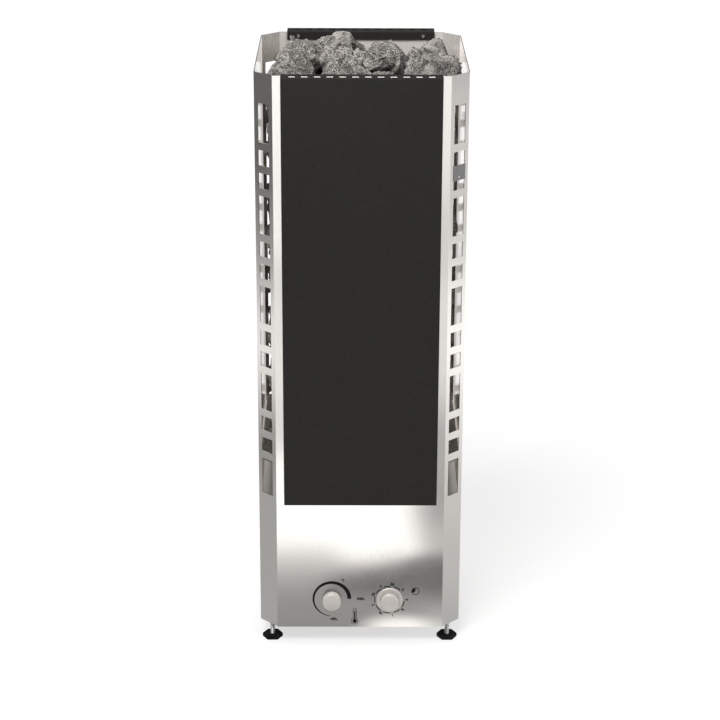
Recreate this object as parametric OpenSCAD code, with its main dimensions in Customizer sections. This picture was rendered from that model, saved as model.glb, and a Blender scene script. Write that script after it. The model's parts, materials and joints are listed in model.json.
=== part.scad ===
// Tower sauna heater: a slotted steel casing full of stones, with the controls in its foot.
// Origin at the centre of the footprint on the floor, +Z up, the front faces -Y. Millimetres.

/* [Casing] */
// Width of the casing over its side walls
casing_w = 350; // [320:5:420]
// Depth of the casing over its front and rear sheets
casing_d = 370; // [340:5:440]
// Height of the casing's sheets
casing_h = 981; // [940:1:1100]
// Corner cut, measured along the front
corner_cut = 31; // [29:1:36]
// Thickness of the casing's steel sheet
sheet_t = 1.2; // [0.8:0.1:2]
// Inside radius of the folds
fold_r = 2; // [1:0.5:3]
// Gap between the floor and the casing
foot_gap = 30; // [26:1:40]
// Width of the lips that carry the front and rear sheets
lip_w = 12; // [8:1:14]

/* [Air slots] */
// Width of an air slot
slot_w = 26; // [18:1:28]
// Height of a long air slot
slot_long_h = 65; // [50:1:68]
// Height of a short air slot
slot_short_h = 25.7; // [18:0.1:28]
// Bar left between two air slots
slot_bar = 12.9; // [8:0.1:14]
// Height of the lowest sill above the casing's edge
slot_sill = 246; // [240:1:260]
// Number of long slots in a column
slot_long_n = 5; // [3:1:5]

/* [Covers] */
// Margin between a cover's side and the corner face beside it
cover_margin = 14; // [12:1:34]
// Thickness of the covers' sheet
cover_t = 2; // [1.5:0.5:3]
// Air space between a cover and the casing
cover_gap = 24; // [18:1:32]
// Height of a cover's lower edge above the casing's edge
cover_sill = 244; // [200:1:300]
// Height of the hooked flange inside the rim
hook_h = 16; // [14:1:24]
// Least margin beside the row of slots in a cover's top
vent_margin = 12; // [8:1:24]
// Width of a slot in a cover's top
vent_w = 10.4; // [6:0.1:14]
// Spacing of the slots in a cover's top
vent_pitch = 20.4; // [16:0.1:21]
// Depth of a slot in a cover's top
vent_d = 13; // [8:0.5:14]

/* [Controls] */
// Height of the shafts above the casing's edge
knob_z = 53; // [46:1:70]
// Place of the thermostat, left of the middle
thermostat_x = 49; // [45:1:70]
// Place of the timer, right of the middle
timer_x = 52; // [45:1:70]
// Diameter of the knobs
knob_d = 32; // [28:1:36]
// Height of a knob in front of the sheet
knob_h = 15; // [13:0.5:20]
// Diameter of the timer's skirt
skirt_d = 46; // [40:0.5:50]
// Diameter of the shafts
shaft_d = 6; // [5:0.5:8]

/* [Feet] */
// Place of the feet inside the side walls
foot_inset_x = 21; // [20:1:30]
// Place of the feet inside the front and rear faces
foot_inset_y = 24; // [24:1:34]
// Diameter of the threaded studs
stud_d = 7.7; // [6:0.1:9]
// Width of a foot pad over its corners
pad_w = 35.5; // [28:0.5:40]
// Thickness of a foot pad
pad_h = 6; // [5:0.5:9]

/* [Stones and elements] */
// Typical width of a stone
stone_size = 88; // [84:1:100]
// Least gap between two stones
stone_gap = 0.3; // [0.2:0.05:0.5]
// Height of the stones' bed above the casing's edge
bed_h = 314; // [305:1:330]
// Height of the highest stones above the rim
pile_h = 39; // [10:1:50]
// Air channel between the stones and the side walls
wall_room = 15; // [2:1:16]
// Diameter of the heating rods
rod_d = 8; // [6:0.5:10]
// Radius of the rods' bends
rod_bend = 28; // [20:1:40]

/* [Hidden] */
$fn = 48;
// How far a cut runs past the faces it goes through
over = 0.5;
// Clearance of pieces that are seated by hand
seat = 0.2;
// Radial clearance of pieces that turn or slide in a bore
run_fit = 0.06;
// How deep welded wires sink into what carries them
weld = 0.4;
half_w = casing_w/2;
half_d = casing_d/2;
rim_z = foot_gap + casing_h;
// Outer faces of the side shells, behind the front and rear sheets
shell_d = half_d - sheet_t;
// Width of the flat front between the corner faces
face_w = casing_w - 2*corner_cut;
cover_w = face_w - 2*cover_margin;
fold_steps = 4;

// Levels inside the casing
base_t = 1.5;
base_recess = 2;
base_z = foot_gap + base_recess;
base_top = base_z + base_t;
flange_h = 14;
vent_row_n = 7;
vent_row_pitch = 16;
vent_row_w = 5;
vent_row_l = 40;
shield_t = 1;
shield_space = 18;
shield_margin = 14;
spacer_share = 0.8;
plate_t = 2;
ledge_w = 18;
ledge_t = 2;
bar_d = 6;
grate_t = 3;
grate_w = 22;
grate_fit = 3;
bed_z = foot_gap + bed_h;
grate_top = bed_z - bar_d + weld;
grate_bottom = grate_top - grate_t;
plate_below_bed = 110;
plate_z = bed_z - plate_below_bed;
plate_top = plate_z + plate_t;
shield_z = plate_top + shield_space;

// Cover fixings, and the slots in a cover's top
cover_fold_r = 1;
// Clearance at which the inside of a fold passes the square edge of a sheet, as a share of its radius
edge_share = 0.3;
cover_seat = edge_share*cover_fold_r;
fix_inset = 20;
fix_x = cover_w/2 - fix_inset;
fix_drop = 8.5;
screw_d = 3;
screw_head_d = 5.6;
screw_head_h = 2;
nut_w = 6.3;
nut_h = 2.4;
bracket_w = 20;
bracket_flange = 14;
bracket_t = 1.5;
bracket_inset = 45;
bracket_x = cover_w/2 - bracket_inset;
bracket_low = 40;
bracket_high = 420;
vent_fold_gap = 2;
vent_start = cover_gap - vent_d - cover_fold_r - vent_fold_gap;
vent_n = floor((cover_w - 2*vent_margin - vent_w)/vent_pitch) + 1;

// The stones lie in a jittered grid of cells
inner_w = casing_w - 2*sheet_t - 2*wall_room;
inner_d = casing_d - 2*sheet_t - 2*cover_seat - 2*cover_t - 2*screw_head_h;
pile_top = rim_z + pile_h;
cells_x = 2*max(1, round(inner_w/(2*stone_size)));
cells_y = 2*max(1, round(inner_d/(2*stone_size)));
cells_z = max(3, round((pile_top - bed_z)/stone_size));
cell_x = inner_w/cells_x;
cell_y = inner_d/cells_y;
cell_z = (pile_top - bed_z)/cells_z;
jitter_share = 0.28;
lift_share = 0.18;
// How far the top of each column of stones lies below the highest, from front to rear and left to right
drop_shares = [[0.26, 0.15, 0.20, 0.24], [0.12, 0.00, 0.14, 0.22], [0.14, 0.10, 0.08, 0.11], [0.80, 0.66, 0.74, 0.64]];
// Reach of a stone from its seed, and of its broken faces, as shares of its cell
reach_share = 0.74;
break_low_share = 0.42;
break_high_share = 0.66;
break_n = 8;
// Number, tilt and distance of the faces that top each of the highest stones
crown_n = 3;
crown_tilt_share = 0.8;
crown_low_share = 0.42;
crown_high_share = 0.6;
crown_sink_share = 0.1;

// The rods stand where the corners of the cells meet
rod_x = cell_x;
rod_y = (cells_y/2 - 1)*cell_y;
rod_top = bed_z + (cells_z - 1)*cell_z;
rod_stone_gap = 1;
pin_d = 4;
pin_h = 14;
rod_tail = 16;
rod_bottom = plate_z - rod_tail;
pin_bottom = rod_bottom - pin_h;
fitting_d = 14;
fitting_h = 7;
star_t = 1.5;
star_w = 12;

// Feet
stud_spare = 26;
stud_top = base_top + stud_spare;
pad_socket = 4;
bush_d = 11;
bush_flange_d = 14;
bush_flange_h = 1;
bush_h = 15;
foot_x = half_w - foot_inset_x;
foot_y = half_d - foot_inset_y;

// Corner plate over the bar between the second and third slots of the front right corner
corner_plate_w = 28;
corner_plate_h = 25.6;
corner_plate_t = 1;
corner_plate_drop = 3;
corner_hole_d = 4;
corner_hole_z = 5;

// Controls
neck_d = 9;
nut14_w = 14;
nut14_h = 2.5;
knob_gap = 0.8;
neck_len = nut14_h + knob_gap/2;
knob_recess_d = 20;
knob_edge = 2.2;
knob_dome = 0.8;
skirt_h = 2.5;
skirt_edge = 0.8;
shaft_in = 8;
shaft_out = 12;
body_w = 44;
body_h = 46;
body_len = 34;
timer_body_d = 50;
timer_body_len = 40;
sensor_d = 6;
sensor_len = 62;
capillary_d = 2;
clip_t = 1;
clip_w = 12;
// Distance of the sensors from the front and rear faces, their height over the shield and their play
sensor_room = 22;
sensor_lift = 6;
sensor_play = 1;

// Terminal block, limiter and gland on the base plate
block_x = -40;
block_inset_y = 115;
block_y = half_d - block_inset_y;
block_w = 84;
block_d = 30;
block_h = 24;
way_n = 5;
way_d = 8;
way_depth = 12;
way_screw_h = 5;
limiter_d = 26;
limiter_h = 30;
limiter_neck_d = 10;
limiter_neck_h = 6;
button_d = 5;
button_proud = 4;
button_len = 12;
button_travel = 2.5;
gland_inset_x = 85;
gland_inset_y = 57;
gland_x = half_w - gland_inset_x;
gland_y = half_d - gland_inset_y;
gland_bore = 13;
gland_thread_d = 24.6;
gland_thread_h = 9;
gland_hex_w = 33;
gland_hex_h = 6;
gland_cap_h = 14;
gland_cap_d = 31;
gland_nut_w = 36;
gland_nut_h = 4.5;

// Plan geometry of the casing
function octagon(inset) =
    let (w = half_w - inset, d = shell_d - inset, c = corner_cut - inset*(2 - sqrt(2)))
    [[-w, -d + c], [-w + c, -d], [w - c, -d], [w, -d + c],
     [w, d - c], [w - c, d], [-w + c, d], [-w, d - c]];

function unit(v) = v/norm(v);
function left_of(v) = [-v[1], v[0]];
function turned(v, a) = [v[0]*cos(a) - v[1]*sin(a), v[0]*sin(a) + v[1]*cos(a)];
function turn_angle(a, b) = atan2(a[0]*b[1] - a[1]*b[0], a*b);

// Points and normals along the middle of a folded sheet, with an arc at each fold
function fold_line(path, r) = [
    for (i = [0:len(path) - 1])
        let (a = i == 0 ? unit(path[1] - path[0]) : unit(path[i] - path[i - 1]),
             b = i == len(path) - 1 ? a : unit(path[i + 1] - path[i]),
             bend = turn_angle(a, b),
             side = bend < 0 ? -1 : 1,
             start = path[i] - a*r*tan(abs(bend)/2),
             centre = start + left_of(a)*side*r)
        for (k = [0:(abs(bend) < 1 ? 0 : fold_steps)])
            let (n = turned(left_of(a), bend*k/fold_steps))
            abs(bend) < 1 ? [path[i], left_of(a)] : [centre - n*side*r, n]];

// Outline of a folded sheet of thickness t and inside radius r
function folded(path, t, r = fold_r) =
    let (line = fold_line(path, r + t/2))
    concat([for (p = line) p[0] + p[1]*t/2],
           [for (i = [len(line) - 1:-1:0]) line[i][0] - line[i][1]*t/2]);

module hexagon(across_flats, h) {
    cylinder(d = across_flats/cos(30), h = h, $fn = 6);
}

module ring(d_out, d_in, h) {
    difference() {
        cylinder(d = d_out, h = h);
        translate([0, 0, -over]) cylinder(d = d_in, h = h + 2*over);
    }
}

// Places the four corners or feet from one of them
module at_feet() {
    for (sx = [-1, 1], sy = [-1, 1]) translate([sx*foot_x, sy*foot_y, 0]) children();
}

// Height and sill of each air slot, from the top of the column down
slot_n = 3*slot_long_n - 2;
function slot_h(i) = i % 3 == 0 ? slot_long_h : slot_short_h;
function slot_sum(i) = i < 0 ? 0 : slot_sum(i - 1) + slot_h(i) + slot_bar;
column_h = slot_sum(slot_n - 1) - slot_bar;
function slot_floor(i) = foot_gap + slot_sill + column_h - slot_sum(i) + slot_bar;

// The four corner faces: a cut or a plate is drawn as if on the front, then turned to its face
corner_mid_x = half_w - corner_cut/2;
corner_mid_y = shell_d - corner_cut/2;
module on_corner(sx, sy) {
    translate([sx*corner_mid_x, sy*corner_mid_y, 0])
        rotate([0, 0, sy < 0 ? sx*45 : 180 - sx*45]) children();
}

module slot_column() {
    for (i = [0:slot_n - 1])
        translate([-slot_w/2, -corner_cut/2, slot_floor(i)]) cube([slot_w, corner_cut, slot_h(i)]);
}

// One sheet folded into a side wall, its two corner faces and two lips
module side_shell(side) {
    mid = octagon(sheet_t/2);
    lip_x = half_w - corner_cut - lip_w;
    path = [[lip_x, mid[2][1]], mid[2], mid[3], mid[4], mid[5], [lip_x, mid[5][1]]];
    difference() {
        mirror([side < 0 ? 1 : 0, 0, 0])
            translate([0, 0, foot_gap]) linear_extrude(casing_h) polygon(folded(path, sheet_t));
        for (sy = [-1, 1]) on_corner(side, sy) slot_column();
    }
}
module left_shell() { color("silver") side_shell(-1); }
module right_shell() { color("silver") side_shell(1); }

// Flat sheet that closes the front or the rear between the corner faces
module face_sheet() {
    translate([-face_w/2, -half_d, foot_gap]) cube([face_w, sheet_t, casing_h]);
}
module cover_holes(d) {
    for (sx = [-1, 1])
        translate([sx*fix_x, -half_d + sheet_t/2, rim_z + cover_t - fix_drop])
            rotate([90, 0, 0]) cylinder(d = d, h = corner_cut, center = true);
}
module front_panel() {
    color("gainsboro") difference() {
        face_sheet();
        cover_holes(screw_d + 2*run_fit);
        for (x = [-thermostat_x, timer_x])
            translate([x, -half_d - over, foot_gap + knob_z])
                rotate([-90, 0, 0]) cylinder(d = neck_d + 2*run_fit, h = sheet_t + 2*over);
    }
}
module rear_panel() {
    color("gainsboro") rotate([0, 0, 180]) difference() {
        face_sheet();
        cover_holes(screw_d + 2*run_fit);
    }
}

// Cover of one folded sheet: hooked over the rim, slotted on top, open at its sides and foot
module cover() {
    wall = -half_d;
    hook_y = wall + sheet_t + cover_seat + cover_t/2;
    top_z = rim_z + cover_seat + cover_t/2;
    face_y = wall - cover_gap - cover_t/2;
    path = [[hook_y, top_z + cover_t/2 - hook_h], [hook_y, top_z],
            [face_y, top_z], [face_y, foot_gap + cover_sill]];
    difference() {
        rotate([90, 0, 90]) translate([0, 0, -cover_w/2])
            linear_extrude(cover_w) polygon(folded(path, cover_t, cover_fold_r));
        for (i = [0:vent_n - 1])
            translate([(i - (vent_n - 1)/2)*vent_pitch - vent_w/2, wall - vent_start - vent_d, rim_z - over])
                cube([vent_w, vent_d, cover_seat + cover_t + 2*over]);
        cover_holes(screw_d + 2*run_fit);
    }
}
module front_cover() { color("dimgray") cover(); }
module rear_cover() { color("dimgray") rotate([0, 0, 180]) cover(); }

// A screw through the hook and the casing, drawn along +Y with its head inside
module both_faces() {
    for (a = [0, 180]) rotate([0, 0, a]) children();
}
module at_cover_fixings() {
    both_faces() for (sx = [-1, 1])
        translate([sx*fix_x, -half_d, rim_z + cover_t - fix_drop]) children();
}
module cover_screws() {
    head_y = sheet_t + cover_seat + cover_t;
    color("lightgray") at_cover_fixings() {
        translate([0, head_y, 0]) rotate([-90, 0, 0]) difference() {
            cylinder(d = screw_head_d, h = screw_head_h);
            translate([0, 0, screw_head_h/2]) cylinder(d = screw_head_d/2, h = screw_head_h, $fn = 6);
        }
        translate([0, -nut_h - screw_d/3, 0]) rotate([-90, 0, 0])
            cylinder(d = screw_d, h = head_y + nut_h + screw_d/3);
    }
}
module cover_nuts() {
    color("lightgray") at_cover_fixings() rotate([90, 0, 0]) difference() {
        hexagon(nut_w, nut_h);
        translate([0, 0, -over]) cylinder(d = screw_d + 2*run_fit, h = nut_h + 2*over);
    }
}

// Folded stand-offs that hold the covers' faces off the casing
module cover_brackets() {
    wall = -half_d - bracket_t/2;
    face = -half_d - cover_gap + bracket_t/2;
    path = [[wall, -bracket_flange], [wall, 0], [face, 0], [face, bracket_flange]];
    color("silver") both_faces() for (sx = [-1, 1], z = [bracket_low, bracket_high])
        translate([sx*bracket_x - bracket_w/2, 0, foot_gap + cover_sill + z])
            rotate([90, 0, 90]) linear_extrude(bracket_w) polygon(folded(path, bracket_t));
}

// Small plate welded over one bar of the front right corner face, with a hole below the bar
corner_plate_z = slot_floor(1) - slot_bar/2 - corner_plate_h/2 - corner_plate_drop;
module corner_plate() {
    color("gray") on_corner(1, -1) translate([0, 0, corner_plate_z]) difference() {
        translate([-corner_plate_w/2, -corner_plate_t, 0])
            cube([corner_plate_w, corner_plate_t, corner_plate_h]);
        translate([0, 0, corner_hole_z]) rotate([90, 0, 0])
            cylinder(d = corner_hole_d, h = corner_cut, center = true);
    }
}

// Flat plate that fits inside the casing, with flanges folded along its four straight sides
module tray(t, flange, up) {
    fit = sheet_t + seat;
    edge = octagon(fit);
    linear_extrude(t) polygon(edge);
    z = up ? 0 : t - flange;
    side_len = edge[4][1] - edge[3][1];
    face_len = edge[2][0] - edge[1][0];
    for (sx = [-1, 1])
        translate([sx*(half_w - fit - t/2) - t/2, -side_len/2, z]) cube([t, side_len, flange]);
    // these stand behind the lips of the side shells
    for (sy = [-1, 1])
        translate([-face_len/2, sy*(shell_d - fit - t/2) - t/2, z]) cube([face_len, t, flange]);
}

// Row of small vents that feeds air to the control space
module floor_vents() {
    for (i = [0:vent_row_n - 1])
        translate([(i - (vent_row_n - 1)/2)*vent_row_pitch - vent_row_w/2, -vent_row_l/2, -over])
            cube([vent_row_w, vent_row_l, base_t + 2*over]);
}
module base_plate() {
    color("silver") translate([0, 0, base_z]) difference() {
        tray(base_t, flange_h, true);
        for (sx = [-1, 1], sy = [-1, 1]) translate([sx*foot_x, sy*foot_y, -over])
            cylinder(d = bush_d + 2*run_fit, h = base_t + 2*over);
        translate([limiter_x, limiter_y, -over])
            cylinder(d = limiter_neck_d + 2*run_fit, h = base_t + 2*over);
        translate([gland_x, gland_y, -over])
            cylinder(d = gland_thread_d + 2*run_fit, h = base_t + 2*over);
        translate([0, -vent_row_l, 0]) floor_vents();
    }
}

// Threaded bushes for the feet, flanged under the base plate
module foot_bushes() {
    color("lightgray") at_feet() difference() {
        union() {
            translate([0, 0, base_z - bush_flange_h]) cylinder(d = bush_flange_d, h = bush_flange_h);
            translate([0, 0, base_z - bush_flange_h]) cylinder(d = bush_d, h = bush_h);
        }
        translate([0, 0, base_z - bush_flange_h - over])
            cylinder(d = stud_d + 2*run_fit, h = bush_h + 2*over);
    }
}

// Places the six rod legs
module at_rods() {
    for (x = [-rod_x, 0, rod_x], sy = [-1, 1]) translate([x, sy*rod_y, 0]) children();
}
sensor_x = cell_x/2;
sensor_y = half_d - sensor_room;
limiter_x = sensor_x;
limiter_y = sensor_y;
sensor_z = plate_top + shield_space + shield_t + sensor_lift;
sensor_hole = sensor_d + 2*sensor_play;
module sensor_holes(t) {
    for (sy = [-1, 1]) translate([sy*sensor_x, sy*sensor_y, -over])
        cylinder(d = sensor_hole, h = t + 2*over);
}
module element_plate() {
    color("silver") translate([0, 0, plate_z]) difference() {
        tray(plate_t, flange_h, false);
        at_rods() translate([0, 0, -over]) cylinder(d = rod_d + 2*run_fit, h = plate_t + 2*over);
        sensor_holes(plate_t);
    }
}

// Bright shield over the element plate, with clear holes for the rods, on four spacers
module at_spacers() {
    for (sx = [-1, 1], sy = [-1, 1])
        translate([sx*foot_x*spacer_share, sy*foot_y*spacer_share, 0]) children();
}
module heat_shield() {
    color("gainsboro") translate([0, 0, shield_z]) difference() {
        linear_extrude(shield_t) polygon(octagon(shield_margin));
        at_rods() translate([0, 0, -over]) cylinder(d = fitting_d, h = shield_t + 2*over);
        sensor_holes(shield_t);
        at_spacers() translate([0, 0, -over]) cylinder(d = screw_d + 2*run_fit, h = shield_t + 2*over);
    }
}
module shield_spacers() {
    color("lightgray") at_spacers() {
        translate([0, 0, plate_top]) cylinder(d = 2*screw_d, h = shield_space);
        translate([0, 0, plate_top + shield_space/2]) cylinder(d = screw_d, h = shield_space/2 + shield_t);
        translate([0, 0, shield_z + shield_t]) cylinder(d = screw_head_d, h = screw_head_h);
    }
}

// Angle ledges on the side walls carry the grate
ledge_l = 2*(shell_d - corner_cut) - 2*ledge_w;
module grate_ledges() {
    wall = half_w - sheet_t;
    path = [[wall - ledge_t/2, grate_bottom - ledge_w], [wall - ledge_t/2, grate_bottom - ledge_t/2],
            [wall - ledge_w, grate_bottom - ledge_t/2]];
    color("silver") for (a = [0, 180]) rotate([0, 0, a])
        rotate([90, 0, 0]) translate([0, 0, -ledge_l/2])
            linear_extrude(ledge_l) polygon(folded(path, ledge_t));
}

// Grate of round bars on a flat frame, four bars to each row of stones, clear of the rods
grate_bar_n = 4*cells_x;
grate_pitch = cell_x/4;
module stone_grate() {
    frame = octagon(sheet_t + grate_fit);
    hole = octagon(sheet_t + grate_fit + grate_w);
    bar_z = grate_top + bar_d/2 - weld;
    color("dimgray") {
        translate([0, 0, grate_bottom]) linear_extrude(grate_t) difference() {
            polygon(frame);
            polygon(hole);
        }
        for (i = [0:grate_bar_n - 1]) {
            x = (i - (grate_bar_n - 1)/2)*grate_pitch;
            reach = shell_d - sheet_t - grate_fit - bar_d
                - max(0, abs(x) - (half_w - corner_cut - bar_d));
            if (abs(x) < half_w - sheet_t - grate_fit - bar_d)
                translate([x, -reach, bar_z]) rotate([-90, 0, 0]) cylinder(d = bar_d, h = 2*reach);
        }
    }
}

// Middle line of one rod, standing across the depth of the casing
function rod_line(x) = let (b = rod_bend, s = b*(1 - sqrt(0.5))) [
    [x, -rod_y, rod_bottom], [x, -rod_y, rod_top - b], [x, -rod_y + s, rod_top - s],
    [x, -rod_y + b, rod_top], [x, rod_y - b, rod_top], [x, rod_y - s, rod_top - s],
    [x, rod_y, rod_top - b], [x, rod_y, rod_bottom]];
module element(x) {
    leg_h = rod_top - rod_bend - rod_bottom;
    color("darkslategray") translate([x, 0, 0]) {
        for (sy = [-1, 1]) {
            translate([0, sy*rod_y, rod_bottom]) cylinder(d = rod_d, h = leg_h);
            translate([0, sy*rod_y, pin_bottom]) cylinder(d = pin_d, h = pin_h);
            translate([0, sy*(rod_y - rod_bend), rod_top - rod_bend])
                rotate([90, 0, sy*90]) rotate_extrude(angle = 90) translate([rod_bend, 0]) circle(d = rod_d);
        }
        translate([0, rod_bend - rod_y, rod_top]) rotate([-90, 0, 0])
            cylinder(d = rod_d, h = 2*(rod_y - rod_bend));
    }
}
module element_left() { element(-rod_x); }
module element_middle() { element(0); }
module element_right() { element(rod_x); }

// Screwed fittings that hold the legs in the element plate: a collar above and a nut below
module element_fittings() {
    color("goldenrod") at_rods() {
        translate([0, 0, plate_top]) ring(fitting_d, rod_d + 2*run_fit, fitting_h);
        translate([0, 0, plate_z - fitting_h]) difference() {
            hexagon(fitting_d, fitting_h);
            translate([0, 0, -over]) cylinder(d = rod_d + 2*run_fit, h = fitting_h + 2*over);
        }
    }
}

// Brass bar that joins the rear ends of the three elements
star_z = rod_bottom - pin_h/2;
module star_bar() {
    color("gold") difference() {
        translate([-rod_x - star_w/2, rod_y - star_w/2, star_z])
            cube([2*rod_x + star_w, star_w, star_t]);
        for (x = [-rod_x, 0, rod_x]) translate([x, rod_y, star_z - over])
            cylinder(d = pin_d + 2*run_fit, h = star_t + 2*over);
    }
}

way_pitch = block_w/way_n;
module at_ways() {
    for (i = [0:way_n - 1], sy = [-1, 1])
        translate([block_x + (i - (way_n - 1)/2)*way_pitch, block_y + sy*block_d/4, base_top + block_h - way_depth])
            children();
}
module terminal_block() {
    color("ivory") difference() {
        translate([block_x - block_w/2, block_y - block_d/2, base_top]) cube([block_w, block_d, block_h]);
        at_ways() cylinder(d = way_d, h = way_depth + over);
    }
}
module terminal_screws() {
    color("gold") at_ways() difference() {
        cylinder(d = way_d - 2*seat, h = way_screw_h);
        translate([-way_d/2, -way_d/16, way_screw_h/2]) cube([way_d, way_d/8, way_screw_h]);
    }
}

// Places what turns on a control shaft: +Z runs out of the front sheet
module on_front(x) {
    translate([x, -half_d, foot_gap + knob_z]) rotate([90, 0, 0]) children();
}
module control_neck() {
    translate([0, 0, -sheet_t]) ring(neck_d, shaft_d + 2*run_fit, sheet_t + neck_len);
}
module thermostat_body() {
    color("whitesmoke") on_front(-thermostat_x) {
        control_neck();
        translate([-body_w/2, -body_h/2, -sheet_t - body_len]) difference() {
            cube([body_w, body_h, body_len]);
            translate([body_w/2, body_h/2, body_len - shaft_in])
                cylinder(d = shaft_d + 2*run_fit, h = shaft_in + over);
        }
    }
}
module panel_nut(x) {
    color("lightgray") on_front(x) difference() {
        hexagon(nut14_w, nut14_h);
        translate([0, 0, -over]) cylinder(d = neck_d + 2*run_fit, h = nut14_h + 2*over);
    }
}
module thermostat_nut() { panel_nut(-thermostat_x); }
module timer_nut() { panel_nut(timer_x); }
module timer_body() {
    color("darkgray") on_front(timer_x) {
        control_neck();
        translate([0, 0, -sheet_t - timer_body_len]) difference() {
            cylinder(d = timer_body_d, h = timer_body_len);
            translate([0, 0, timer_body_len - shaft_in])
                cylinder(d = shaft_d + 2*run_fit, h = shaft_in + over);
        }
    }
}

// Liquid sensor over the shield, with its clip on the front or rear sheet
module sensor(start_z) {
    wall = half_d - sheet_t - sensor_y;
    color("peru") {
        translate([0, 0, start_z]) cylinder(d = capillary_d, h = sensor_z - start_z);
        translate([0, 0, sensor_z]) cylinder(d = sensor_d, h = sensor_len);
        translate([-clip_w/2, -sensor_d/2 - clip_t, sensor_z + sensor_len/2])
            cube([clip_w, wall + sensor_d/2 + clip_t, clip_t]);
    }
}
module thermostat_sensor() {
    body_top = foot_gap + knob_z + body_h/2;
    translate([-sensor_x, -sensor_y, 0]) rotate([0, 0, 180]) sensor(body_top);
}
module limiter_sensor() {
    translate([sensor_x, sensor_y, 0]) sensor(base_top + limiter_h);
}
module limiter_body() {
    color("black") translate([limiter_x, limiter_y, 0]) difference() {
        union() {
            translate([0, 0, base_top]) cylinder(d = limiter_d, h = limiter_h);
            translate([0, 0, base_z - limiter_neck_h + base_t]) cylinder(d = limiter_neck_d, h = limiter_neck_h);
        }
        translate([0, 0, base_top - limiter_neck_h - over])
            cylinder(d = button_d + 2*run_fit, h = button_len + button_travel + over);
    }
}
module reset_button() {
    low = base_top - limiter_neck_h - button_proud;
    color("red") translate([limiter_x, limiter_y, low]) cylinder(d = button_d, h = button_len);
}

// Cable gland through the base plate, its dome nut below
module gland_body() {
    color("black") translate([gland_x, gland_y, 0]) difference() {
        union() {
            translate([0, 0, base_z]) cylinder(d = gland_thread_d, h = gland_thread_h);
            translate([0, 0, base_z - gland_hex_h]) hexagon(gland_hex_w, gland_hex_h);
        }
        translate([0, 0, base_z - gland_hex_h - over])
            cylinder(d = gland_bore, h = gland_hex_h + gland_thread_h + 2*over);
    }
}
module gland_cap() {
    top = base_z - gland_hex_h;
    color("black") translate([gland_x, gland_y, top - gland_cap_h]) rotate_extrude()
        polygon([[gland_bore/2, 0], [gland_cap_d/2 - gland_cap_h/3, 0], [gland_cap_d/2, gland_cap_h/3],
                 [gland_cap_d/2, gland_cap_h], [gland_bore/2, gland_cap_h]]);
}
module gland_nut() {
    color("black") translate([gland_x, gland_y, base_top]) difference() {
        hexagon(gland_nut_w, gland_nut_h);
        translate([0, 0, -over]) cylinder(d = gland_thread_d + 2*run_fit, h = gland_nut_h + 2*over);
    }
}

// A repeatable scatter from 0 to 1
scatter_steps = [127.1, 311.7, 7.3];
scatter_gain = 43758.5453;
function scatter(i, j) = let (v = sin([i, j, 1]*scatter_steps)*scatter_gain) v - floor(v);
function stone_id(c) = c[0] + cells_x*(c[1] + cells_y*c[2]);
function is_top(c) = c[2] == cells_z - 1;
function shift(c, j, share) = share*(scatter(stone_id(c), j) - 0.5)*2;
function column_top(c) = pile_top - stone_size*drop_shares[c[1] % len(drop_shares)][c[0] % len(drop_shares[0])];
function seed(c) = [
    -inner_w/2 + (c[0] + 0.5 + shift(c, 1, jitter_share))*cell_x,
    -inner_d/2 + (c[1] + 0.5 + shift(c, 2, jitter_share))*cell_y,
    bed_z + (c[2] + 0.5 + shift(c, 3, lift_share) - (is_top(c) ? crown_sink_share : 0))
        *(column_top(c) - bed_z)/cells_z];

// Planes that bound a stone, each as its outward direction and its distance from the seed
function in_grid(c) = c[0] >= 0 && c[0] < cells_x && c[1] >= 0 && c[1] < cells_y && c[2] >= 0 && c[2] < cells_z;
function neighbour_planes(c, s) = [
    for (dx = [-1:1], dy = [-1:1], dz = [-1:1])
        let (o = c + [dx, dy, dz])
        if (in_grid(o) && o != c)
            let (v = seed(o) - s) [unit(v), norm(v)/2 - stone_gap/2]];
function wall_planes(s) = let (
    w = inner_w/2 - stone_gap, d = inner_d/2 - stone_gap, q = sqrt(0.5),
    edge = (half_w - sheet_t + shell_d - sheet_t - corner_cut + sheet_t*(2 - sqrt(2)) - wall_room)*q) concat(
    [for (sx = [-1, 1]) [[sx, 0, 0], w - sx*s[0]]],
    [for (sy = [-1, 1]) [[0, sy, 0], d - sy*s[1]]],
    [for (sx = [-1, 1], sy = [-1, 1]) [[sx*q, sy*q, 0], edge - q*(sx*s[0] + sy*s[1])]],
    [[[0, 0, -1], s[2] - bed_z - stone_gap]]);
function nearest(a, b, p) = let (t = max(0, min(1, (p - a)*(b - a)/((b - a)*(b - a))))) a + t*(b - a);
function rod_planes(s) = [
    for (x = [-rod_x, 0, rod_x])
        let (line = rod_line(x))
        for (i = [0:len(line) - 2])
            let (v = nearest(line[i], line[i + 1], s) - s)
            [unit(v), norm(v) - rod_d/2 - rod_stone_gap]];
function break_planes(c) = [
    for (k = [1:break_n])
        let (id = stone_id(c), up = 2*scatter(id, 10 + k) - 1, a = 360*scatter(id, 30 + k), w = sqrt(1 - up*up))
        [[w*cos(a), w*sin(a), up],
         cell_x*between(break_low_share, break_high_share, scatter(id, 50 + k))]];
function between(low, high, f) = low + (high - low)*f;
function crown_planes(c, s) = let (id = stone_id(c)) concat([[[0, 0, 1], column_top(c) - s[2]]],
    [for (k = [1:crown_n])
        [unit([between(-crown_tilt_share, crown_tilt_share, scatter(id, 70 + k)),
               between(-crown_tilt_share, crown_tilt_share, scatter(id, 80 + k)), 1]),
         cell_z*between(crown_low_share, crown_high_share, scatter(id, 90 + k))]]);

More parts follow.
